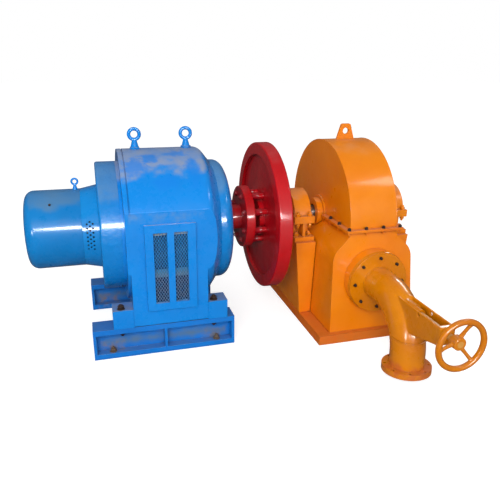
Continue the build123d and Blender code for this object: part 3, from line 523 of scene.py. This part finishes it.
wheel_radius, rim_radius, hub_middle, dish = 0.13, 0.0162, -1.419, 0.0335
bpy.ops.object.select_all(action="DESELECT")
bpy.ops.mesh.primitive_torus_add(location=(nozzle_x, hub_middle - dish, nozzle_height), rotation=(radians(90), 0, 0),
                                 major_radius=wheel_radius, minor_radius=rim_radius, major_segments=96,
                                 minor_segments=16)
rim = bpy.context.object
hub = drawn_bar([(nozzle_x, y, nozzle_height) for y in (-1.3915, -1.396, -1.442, -1.4465)],
                [0.03, 0.0355, 0.0355, 0.031], 32)
spokes = []
for turn in (68, 188, 308):
    way = Vector((cos(radians(turn)), 0, sin(radians(turn))))
    bow = [Vector((nozzle_x, hub_middle - dish * out**1.6, nozzle_height)) + wheel_radius * out * way
           for out in (0.1, 0.3, 0.5, 0.7, 0.9, 1.0)]
    spokes.append(drawn_bar(bow, [0.017, 0.0122, 0.0102, 0.0098, 0.0112, 0.0125]))
wheel = joined(rim, hub, *spokes)
cast(wheel, cell=0.0028, rounds=5)
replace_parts(finished("cast_handwheel", wheel_ochre, "handwheel", smooth=60), "handwheel")


# Runner inside the casing, on the turbine shaft.
# The runner is cast stainless steel and never painted; the shaft is turned steel, bright where it shows.
bright_steel = enamel("bright_steel", (150, 146, 140), (126, 122, 118), gloss=0.32, coat=0.0,
                      dust=(0.3, 20.0, 0.7, 0.4), dust_tint=(150, 130, 110), shade_in_corners=0.6, wear=0.1, brush=0.2)
bright_steel.node_tree.nodes["Principled BSDF"].inputs["Metallic"].default_value = 0.9
coat_with(bright_steel, "turbine_shaft", "runner_disc", "runner_buckets", "nozzle_tip")


# Flywheel and coupling.
# The flywheel is a heavy casting on the turbine shaft, machined on its rim. Eight pins with nuts join it to the
# coupling half on the generator's shaft. All of it is red enamel, and the web is mottled with old oil and dust.
disc_zone, taken, given = effect(
    "disc_zone", {"Inner": 0.1, "Outer": 0.4, "Left": -1.0, "Right": 1.0, "Scale": 9.0, "Cover": 0.5},
    {"Mask": "Float"},
)
place = put(disc_zone, "TexCoord").outputs["Object"]
parts = put(disc_zone, "SeparateXYZ", {0: place})
above_shaft = put(disc_zone, "Math", {0: parts.outputs[2], 1: shaft_height}, operation="SUBTRACT")
flat = put(disc_zone, "CombineXYZ", {0: parts.outputs[1], 1: above_shaft.outputs[0]})
reach = put(disc_zone, "VectorMath", {0: flat.outputs[0]}, operation="LENGTH").outputs["Value"]
mottle = put(disc_zone, "TexNoise", {"Vector": place, "Scale": taken["Scale"], "Detail": 7.0, "Roughness": 0.65})
cover = put(disc_zone, "MapRange", {0: mottle.outputs[0], 1: 0.62, 2: 0.38})
cover = put(disc_zone, "Math", {0: cover.outputs[0], 1: taken["Cover"]}, operation="MULTIPLY")
gates = [(reach, taken["Inner"]), (taken["Outer"], reach), (parts.outputs[0], taken["Left"]),
         (taken["Right"], parts.outputs[0])]
mask = cover.outputs[0]
for more, less in gates:
    gap = put(disc_zone, "Math", {0: more, 1: less}, operation="SUBTRACT")
    gate = put(disc_zone, "MapRange", {0: gap.outputs[0], 1: 0.0, 2: 0.004})
    mask = put(disc_zone, "Math", {0: mask, 1: gate.outputs[0]}, operation="MULTIPLY", use_clamp=True).outputs[0]
disc_zone.links.new(mask, given["Mask"])
rotor_red = enamel(
    "rotor_red", (188, 4, 22), (174, 4, 20), gloss=0.42, coat=0.8, dust=(0.35, 14.0, 0.8, 0.4),
    dust_tint=(168, 84, 84), shade_in_corners=0.9, wear=0.3, wear_tint=(120, 50, 45), brush=0.2,
    stains=[(disc_zone, {"Inner": 0.07, "Outer": 0.413, "Left": -0.27, "Right": -0.18, "Cover": 0.5},
             (180, 14, 34), 0.42),
            (disc_zone, {"Inner": 0.24, "Outer": 0.413, "Left": -0.27, "Right": -0.18, "Cover": 0.5, "Scale": 5.0},
             (146, 38, 42), 0.48),
            (disc_zone, {"Inner": 0.07, "Outer": 0.205, "Left": -0.43, "Right": -0.397, "Cover": 0.9, "Scale": 24.0},
             (146, 32, 44), 0.5)],
)
coat_with(rotor_red, "flywheel", "coupling_half", "coupling_pins", "generator_shaft")
pin_circle, coupling_face, sleeve_seat = 0.16, -0.4, -0.3385
pin_turns = [radians(22.5 + 45 * n) for n in range(8)]
pin_places = [(pin_circle * cos(t), shaft_height + pin_circle * sin(t)) for t in pin_turns]
pin_red = enamel("pin_red", (160, 18, 32), (120, 22, 34), gloss=0.3, coat=0.5, dust=(0.3, 30.0, 0.4, 0.4),
                 dust_tint=(160, 100, 100), shade_in_corners=0.5, wear=0.6, wear_tint=(150, 120, 124))
set_out(hex_nut(width=0.03, height=0.012, stud=0.006, washer=0.019), "coupling_pin_nuts", pin_red, "rotor",
        [((coupling_face, y, z), (-1, 0, 0)) for y, z in pin_places])
sleeve_radius, sleeve_length, groove, groove_share = 0.0255, 0.05, 0.002, 0.93
bpy.ops.object.select_all(action="DESELECT")
bpy.ops.mesh.primitive_cylinder_add(vertices=24, radius=sleeve_radius, depth=sleeve_length,
                                    location=(0, 0, sleeve_length / 2))
sleeve = bpy.context.object
bpy.ops.object.transform_apply(location=True)
for level in (sleeve_length / 4, sleeve_length / 2, sleeve_length * 3 / 4):
    bpy.ops.object.mode_set(mode="EDIT")
    bpy.ops.mesh.select_all(action="SELECT")
    bpy.ops.mesh.bisect(plane_co=(0, 0, level), plane_no=(0, 0, 1))
    bpy.ops.mesh.select_mode(type="EDGE")
    bpy.ops.mesh.bevel(offset=groove, segments=1, affect="EDGES")
    bpy.ops.transform.resize(value=(groove_share, groove_share, 1), center_override=(0, 0, level))
    bpy.ops.object.mode_set(mode="OBJECT")
# The sleeves' rubbed edges are worn paint tinted light pink, and so partly a painted highlight along the pins' grooves.
sleeve_red = enamel("sleeve_red", (176, 14, 34), (140, 14, 28), gloss=0.3, coat=0.5, dust=(0.2, 30.0, 0.5, 0.4),
                    dust_tint=(170, 110, 110), wear=0.4, wear_tint=(196, 110, 120), brush=0.1)
set_out(sleeve, "pin_sleeves", sleeve_red, "rotor", [((sleeve_seat, y, z), (1, 0, 0)) for y, z in pin_places])


# Slide rails under the generator.
# Cast I-section rails, closed at both ends, with a gusset, anchored to the floor. Brown dust lies in the web's trough.
rail_blue = enamel(
    "rail_blue", (14, 118, 206), (10, 106, 190), gloss=0.36, coat=0.4, dust=(0.5, 12.0, 0.6, 0.5),
    dust_tint=(96, 120, 146), shade_in_corners=0.5, wear=0.6, wear_tint=(120, 160, 200),
    stains=[(dirty_zone, {"Low": (-1.397, 0.28, 0.03), "High": (-0.557, 0.425, 0.13), "Border": 0.07, "Ragged": 0.1,
                          "Patches": 0.15, "Scale": 9.0}, (84, 114, 140), 0.6),
            (dirty_zone, {"Low": (-1.38, 0.28, 0.0), "High": (-1.2, 0.425, 0.11), "Border": 0.08, "Ragged": 0.1,
                          "Patches": 0.7, "Scale": 22.0}, (124, 112, 104), 0.7),
            (dirty_zone, {"Low": (-0.75, 0.28, 0.0), "High": (-0.58, 0.425, 0.11), "Border": 0.08, "Ragged": 0.1,
                          "Patches": 0.7, "Scale": 22.0}, (118, 112, 108), 0.7)],
)
coat_with(rail_blue, "rail_front", "rail_rear")
anchor_rust = enamel("anchor_rust", (96, 92, 86), (84, 66, 54), gloss=0.6, coat=0.0, dust=(0.6, 30.0, 0.3, 0.4),
                     dust_tint=(126, 110, 96), wear=0.4)
rail_middles, anchor_stations, foot_stations = (-0.4035, 0.4035), (-1.299, -0.655), (-1.237, -0.671)
rail_floor, foot_top, rail_under = 0.034, 0.31, 0.158
set_out(hex_nut(width=0.03, height=0.016, stud=0.012, washer=0.022), "rail_anchor_nuts", anchor_rust, "frame",
        [((x, y, rail_floor), up) for x in anchor_stations for y in rail_middles])
set_out(hex_nut(width=0.036, height=0.018, stud=0.008, washer=0.024), "foot_bolts", bolt_black, "frame",
        [((x, y, foot_top), up) for x in foot_stations for y in rail_middles])
set_out(hex_nut(width=0.03, height=0.014, stud=0.008, washer=0.018), "foot_nuts", bolt_black, "frame",
        [((x, y, rail_under), down) for x in foot_stations for y in rail_middles])


# Generator: feet, stator housing, bells, cover and screen panels.
# Rolled and cast housings under one thick coat of glossy blue enamel. Pinkish dust lies on the crown of the barrel,
# with some patches wiped clean, and behind the windows the housing is painted dark as the shade of the space inside.
wiped_patch, taken, given = effect(
    "wiped_patch", {"Centre": (0.0, 0.0, 0.0), "Size": (0.1, 0.1, 0.1), "Cover": 1.0}, {"Mask": "Float"}
)
place = put(wiped_patch, "TexCoord").outputs["Object"]
away = put(wiped_patch, "VectorMath", {0: place, 1: taken["Centre"]}, operation="SUBTRACT")
away = put(wiped_patch, "VectorMath", {0: away.outputs[0], 1: taken["Size"]}, operation="DIVIDE")
away = put(wiped_patch, "VectorMath", {0: away.outputs[0]}, operation="LENGTH").outputs["Value"]
rags = put(wiped_patch, "TexNoise", {"Vector": place, "Scale": 26.0, "Detail": 5.0, "Roughness": 0.6})
away = put(wiped_patch, "Math", {0: rags.outputs[0], 1: 1.6, 2: away}, operation="MULTIPLY_ADD").outputs[0]
inside = put(wiped_patch, "MapRange", {0: away, 1: 1.9, 2: 1.2}, interpolation_type="SMOOTHSTEP")
mask = put(wiped_patch, "Math", {0: inside.outputs[0], 1: taken["Cover"]}, operation="MULTIPLY", use_clamp=True)
wiped_patch.links.new(mask.outputs[0], given["Mask"])

blue, deep_blue = (0, 130, 216), (0, 122, 207)
blue_values = dict(gloss=0.25, coat=0.8, dust_tint=(150, 150, 154), shade_in_corners=0.5, wear=0.25, wear_tint=(60, 90, 130),
                   brush=0.3, lumps=1.2)
generator_blue = enamel("generator_blue", blue, deep_blue, dust=(0.6, 7.0, 0.86, 0.35), **blue_values)
coat_with(generator_blue, "lifting_eyes", "screen_panel_front", "screen_panel_rear")
bell_blue = enamel("bell_blue", (8, 128, 206), (4, 118, 192), dust=(0.6, 7.0, 0.55, 0.5),
                   **{**blue_values, "dust_tint": (104, 134, 160), "lumps": 5.0, "bump": 0.4})
coat_with(bell_blue, "end_bell_right", "end_bell_left")
cover_blue = enamel("cover_blue", (8, 124, 196), (6, 114, 182), dust=(0.75, 6.0, 0.62, 0.6),
                    **{**blue_values, "dust_tint": (92, 122, 146), "lumps": 1.4})
coat_with(cover_blue, "exciter_cover")
foot_blue = enamel("foot_blue", blue, deep_blue, dust=(0.9, 16.0, 0.5, 0.3),
                   **{**blue_values, "dust_tint": (124, 132, 148)})
coat_with(foot_blue, "generator_feet")


def patch(x, y, z, width, depth, height, cover=0.75):
    """A patch of the dusty crown that a hand or a rag has wiped clean."""
    return (wiped_patch, {"Centre": (x, y, z), "Size": (width, depth, height), "Cover": cover}, (10, 122, 214), 0.3)


def painted_window_inside(low, high, colour, **border):
    """A band painted on the housing behind the windows, between two heights, for what is seen through them."""
    return (dirty_zone, {"Low": (-1.036, 0.2, low), "High": (-0.826, 0.4385, high), **border}, colour, 0.8)


barrel_blue = enamel(
    "barrel_blue", blue, deep_blue, dust=(0.85, 9.0, 0.7, 0.6), **blue_values,
    stains=[patch(-1.1, -0.28, 1.13, 0.1, 0.2, 0.06), patch(-1.0, -0.2, 1.165, 0.08, 0.12, 0.03, 0.8),
            patch(-0.93, -0.36, 1.05, 0.09, 0.2, 0.045), patch(-0.76, -0.3, 1.1, 0.05, 0.2, 0.1),
            patch(-0.83, -0.14, 1.19, 0.09, 0.08, 0.03, 0.7), patch(-1.05, 0.3, 1.1, 0.12, 0.2, 0.05),
            (dirty_zone, {"Low": (-1.165, 0.432, 0.835), "High": (-0.71, 0.446, 0.9), "Ragged": 0.04, "Border": 0.02,
                          "Patches": 0.5}, (86, 132, 184), 0.6),
            # Behind the windows: the dark base band is painted shade of the space inside, the two middle bands paint
            # the core and a rib, and the pale top band is painted light on the top ledge.
            painted_window_inside(0.336, 0.786, (14, 42, 78), Border=0.001),
            painted_window_inside(0.49, 0.545, (84, 128, 156), Border=0.004, Ragged=0.01),
            painted_window_inside(0.55, 0.75, (22, 78, 122), Border=0.01, Ragged=0.03, Patches=0.5),
            painted_window_inside(0.752, 0.79, (200, 196, 184), Border=0.004)],
)
coat_with(barrel_blue, "stator_housing")
barrel_top, eye_stations = 1.1945, (-1.071, -0.753)
set_out(hex_nut(width=0.056, height=0.013, stud=0.002, washer=0.036), "eye_collars", foot_blue, "frame",
        [((x, 0, barrel_top), up) for x in eye_stations])
screw_place, screw_way = (-1.591, -0.15, 0.9065), (0, -0.622, 0.783)
set_out(hex_nut(width=0.012, height=0.004, stud=0.001, washer=0.008), "cover_screw", bolt_black, "frame",
        [(screw_place, screw_way)])


# Exciter ring: the short cone between the left bell and the exciter's cover.
# It is rolled sheet, and a field of punched air holes on each flank shows the space inside, where a dark core stands as
# painted shade.
ring_middle, ring_length, bell_end, cover_end = -1.37, 0.0978, 0.2618, 0.2408
bpy.ops.object.select_all(action="DESELECT")
bpy.ops.mesh.primitive_cone_add(vertices=128, radius1=bell_end, radius2=cover_end, depth=ring_length,
                                end_fill_type="NOTHING", location=(ring_middle, 0, shaft_height),
                                rotation=(0, radians(-90), 0))
ring = bpy.context.object
bpy.ops.object.transform_apply(location=True, rotation=True, scale=True)
wall = ring.modifiers.new("wall", "SOLIDIFY")
wall.thickness, wall.offset = 0.004, -1
bpy.ops.object.modifier_apply(modifier="wall")
hole_radius, first_column, column_step, first_row, row_step = 0.0058, -1.391, 0.017, -17, 6
punches = []
for flank in sides:
    for column in range(3):
        for row in range(7):
            lift = radians(first_row + row_step * (row + column % 2 / 2))
            way = Vector((0, flank * cos(lift), sin(lift)))
            station = Vector((first_column + column_step * column, 0, shaft_height))
            bpy.ops.object.select_all(action="DESELECT")
            bpy.ops.mesh.primitive_cylinder_add(vertices=14, radius=hole_radius, depth=0.05,
                                                location=station + 0.249 * way,
                                                rotation=way.to_track_quat("Z", "Y").to_euler())
            punches.append(bpy.context.object)
cut_out(ring, joined(*punches))
ring_blue = enamel("ring_blue", (10, 134, 210), (6, 124, 196), dust=(0.5, 9.0, 0.9, 0.35),
                   **{**blue_values, "shade_in_corners": 0.1, "lumps": 2.0})
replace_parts(finished("punched_ring", ring_blue, "frame", smooth=30), "exciter_ring")
# Painted shade: a near-black core inside the ring, seen through the holes, where the inside of the exciter lies in
# shade.
hole_shade_dark = enamel("hole_shade_dark", (14, 18, 26), (8, 12, 18), gloss=0.8, coat=0.0, dust=(0.1, 20.0, 0.5, 0.4),
                    dust_tint=(40, 50, 60), wear=0.0, brush=0.1)
drawn_bar([(x, 0, shaft_height) for x in (-1.3215, -1.345, -1.35, -1.395, -1.418)],
          [0.235, 0.233, 0.225, 0.222, 0.22], 64)
finished("hole_shade_core", hole_shade_dark, "frame")


# Air screens in the windows.
# Expanded metal with diamond openings, clamped behind the panels over the painted shade of the winding space, and dull
# with dust.
screen_metal = enamel("screen_metal", (52, 164, 238), (40, 140, 214), gloss=0.4, coat=0.2, dust=(0.3, 20.0, 0.3, 0.4),
                      dust_tint=(150, 145, 130), shade_in_corners=0.0, wear=0.0,
                      stains=[(dirty_zone, {"Low": (-1.1, 0.3, 0.33), "High": (-0.8, 0.5, 0.545), "Border": 0.03,
                                            "Patches": 0.5, "Scale": 30.0}, (124, 152, 188), 0.6)])
window_middles, screen_plane, screen_height = (-0.99, -0.87), 0.438, 0.561
half_width, half_height, cells, diamond, strand = 0.04, 0.219, 24, (0.0165, 0.026), 0.0038
lattice = []
for flank in sides:
    for middle in window_middles:
        bpy.ops.object.select_all(action="DESELECT")
        bpy.ops.mesh.primitive_grid_add(x_subdivisions=cells, y_subdivisions=cells, size=cells / 2**0.5)
        net = bpy.context.object
        net.data.transform(Matrix.Rotation(radians(45), 4, "Z"))
        net.data.transform(Matrix.Diagonal((*diamond, 1, 1)))
        bpy.ops.object.mode_set(mode="EDIT")
        for outward in ((1, 0, 0), (-1, 0, 0), (0, 1, 0), (0, -1, 0)):
            edge_at = (half_width * outward[0], half_height * outward[1], 0)
            bpy.ops.mesh.select_all(action="SELECT")
            bpy.ops.mesh.bisect(plane_co=edge_at, plane_no=outward, clear_outer=True)
        bpy.ops.object.mode_set(mode="OBJECT")
        strands = net.modifiers.new("strands", "WIREFRAME")
        strands.thickness, strands.use_even_offset = strand, False
        bpy.ops.object.modifier_apply(modifier="strands")
        stood_up = Matrix.Rotation(radians(90), 4, "X")
        net.data.transform(Matrix.Translation((middle, flank * screen_plane, screen_height)) @ stood_up)
        lattice.append(net)
joined(*lattice)
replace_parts(finished("diamond_screens", screen_metal, "frame", smooth=20), "air_screens")


# Floor, light and camera of the studio.
# A pale floor meets a white surround. A wide soft window lights the set from the front left, and narrow bands over the
# camera and at the sides draw the highlights in the enamel.
bpy.ops.object.select_all(action="DESELECT")
bpy.ops.mesh.primitive_plane_add(size=80)
floor = bpy.context.object
floor.name = "studio_floor"
floor_pale = bpy.data.materials.new("floor_pale")
floor_pale.use_nodes = True
floor_tree = floor_pale.node_tree
floor_shader = floor_tree.nodes["Principled BSDF"]
floor_shader.inputs["Roughness"].default_value = 0.9
floor_shader.inputs["Specular IOR Level"].default_value = 0.1
floor_shader.inputs["Emission Color"].default_value = (1, 1, 1, 1)
floor_glow = 0.74
seen = put(floor_tree, "LightPath")
pale = tinted(floor_tree, (0.5, 0.5, 0.5, 1), (0.1, 0.1, 0.1, 1), seen.outputs["Is Glossy Ray"])
glow = put(floor_tree, "Math", {0: seen.outputs["Is Camera Ray"], 1: floor_glow}, operation="MULTIPLY")
floor_tree.links.new(pale, floor_shader.inputs["Base Color"])
floor_tree.links.new(glow.outputs[0], floor_shader.inputs["Emission Strength"])
floor.data.materials.append(floor_pale)

surround = bpy.data.worlds.new("surround")
bpy.context.scene.world = surround
surround.use_nodes = True
sky = surround.node_tree
dark_side, lit_side, mirrored, backdrop = 0.36, 0.76, 0.1, 1.0
ray = put(sky, "LightPath")
way = put(sky, "TexCoord")
side = put(sky, "VectorMath", {0: way.outputs["Generated"], 1: (-0.05, -0.6, 0.4)}, operation="DOT_PRODUCT")
graded = put(sky, "MapRange", {0: side.outputs["Value"], 1: -0.6, 2: 0.7, 3: dark_side, 4: lit_side})
dimmed = put(sky, "Mix", {0: ray.outputs["Is Glossy Ray"], 2: graded.outputs[0], 3: mirrored})
seen = put(sky, "Mix", {0: ray.outputs["Is Camera Ray"], 2: dimmed.outputs[0], 3: backdrop})
sky.links.new(seen.outputs[0], sky.nodes["Background"].inputs["Strength"])
sky.nodes["Background"].inputs["Color"].default_value = (1, 1, 1, 1)


def window(name, place, target, width, height, power, highlight=True, roll=0):
    """A soft rectangular light that faces a point. A highlight is only mirrored in the enamel, and lights nothing."""
    lamp = bpy.data.objects.new(name, bpy.data.lights.new(name, "AREA"))
    lamp.data.shape = "RECTANGLE"
    lamp.data.size = width
    lamp.data.size_y = height
    lamp.data.energy = power
    lamp.location = place
    lamp.rotation_euler = (Vector(target) - Vector(place)).to_track_quat("-Z", "Y").to_euler()
    lamp.rotation_euler.rotate_axis("Z", radians(roll))
    lamp.visible_camera = False
    lamp.visible_glossy = highlight
    lamp.visible_diffuse = not highlight
    bpy.context.scene.collection.objects.link(lamp)


window("key_window", (-2.6, -6.0, 3.8), (-0.3, 0, 0.6), width=3.6, height=2.6, power=330, highlight=False)
window("highlight_band", (-0.2, -6.8, 2.28), (-0.2, 0, 0.7), width=4.3, height=0.7, power=520, roll=-10)
window("left_strip", (-4.2, -6.2, 1.6), (0.3, -1.07, 0.25), width=0.5, height=0.9, power=90)
window("right_strip", (1.28, -0.27, 1.17), (0.37, -0.85, 0.48), width=0.6, height=0.12, power=5)
window("top_window", (2.95, -2.45, 4.3), (0.35, -0.7, 0.5), width=1.2, height=0.8, power=22)

bpy.context.scene.view_settings.view_transform = "Standard"
yaw, pitch, roll = radians(16.37), radians(19.29), radians(0.70)
standpoint = (-1.325, -3.4256, 1.7172)
forward = Vector((sin(yaw) * cos(pitch), cos(yaw) * cos(pitch), -sin(pitch)))
level = Vector((cos(yaw), -sin(yaw), 0))
above = level.cross(forward)
right = level * cos(roll) + above * sin(roll)
above = above * cos(roll) - level * sin(roll)
camera = bpy.data.objects.new("camera", bpy.data.cameras.new("camera"))
bpy.context.scene.collection.objects.link(camera)
camera.data.lens = 38.85
camera.data.sensor_width = 36
facing = Matrix((right, above, -forward)).transposed().to_4x4()
camera.matrix_world = Matrix.Translation(standpoint) @ facing
bpy.context.scene.camera = camera
